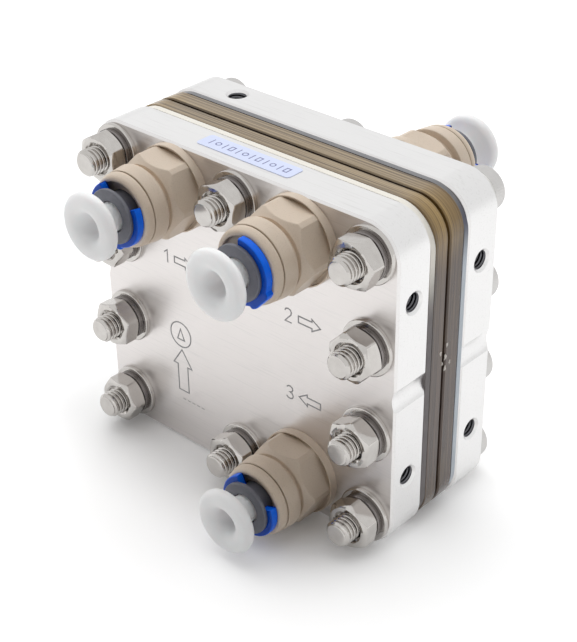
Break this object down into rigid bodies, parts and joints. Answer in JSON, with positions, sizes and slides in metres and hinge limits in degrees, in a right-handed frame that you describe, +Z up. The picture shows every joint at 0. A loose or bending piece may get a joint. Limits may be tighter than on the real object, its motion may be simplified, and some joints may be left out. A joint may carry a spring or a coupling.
{
  "type": "electrolyzer cell module",
  "caption": "Flat electrolysis cell clamped between two thick end plates by tie bolts, with push-in tube fittings closed by blanking plugs on both faces.",
  "frame": {"origin": "middle of the bottom edge, at floor level, half way through the stack", "axes": "+X to the right across the plates, +Y from the front face to the rear, +Z up"},
  "size_m": [0.085, 0.083, 0.0771],
  "materials": {
    "end_plate": "satin, fine brushed grain",
    "front_sheet": "matte",
    "rear_sheet": "matte",
    "frame": "translucent amber, gloss",
    "seal": "matte",
    "membrane": "matte",
    "flow_plate": "machined titanium",
    "carbon_layer": "porous",
    "metal_layer": "porous sintered",
    "fastener": "polished stainless",
    "bush": "matte",
    "fitting": "satin beige",
    "collet": "satin dark grey",
    "clip": "gloss blue",
    "plug": "satin, slightly translucent",
    "label": "matte"
  },
  "bodies": {
    "root": {"front_end_plate": "end_plate", "rear_end_plate": "end_plate", "front_sheet": "front_sheet", "rear_sheet": "rear_sheet", "front_frame": "frame", "rear_frame": "frame", "front_seal": "seal", "rear_seal": "seal", "membrane": "membrane", "front_flow_plate": "flow_plate", "rear_flow_plate": "flow_plate", "front_transport_layer": "carbon_layer", "rear_transport_layer": "metal_layer", "tie_bolts": "fastener", "insulating_bushes": "bush", "rear_washers": "fastener", "front_washers": "fastener", "spring_washers": "fastener", "tie_nuts": "fastener", "port_o_rings": "seal", "tube_o_rings": "seal", "upper_left_fitting_body": "fitting", "upper_right_fitting_body": "fitting", "lower_fitting_body": "fitting", "rear_fitting_body": "fitting", "upper_left_fitting_cap": "fitting", "upper_right_fitting_cap": "fitting", "lower_fitting_cap": "fitting", "rear_fitting_cap": "fitting", "upper_left_collet": "collet", "upper_right_collet": "collet", "lower_collet": "collet", "rear_collet": "collet", "upper_left_locking_clip": "clip", "upper_right_locking_clip": "clip", "lower_locking_clip": "clip", "rear_locking_clip": "clip", "upper_left_plug": "plug", "upper_right_plug": "plug", "lower_plug": "plug", "rear_plug": "plug", "paper_label": "label"}
  },
  "joints": []
}
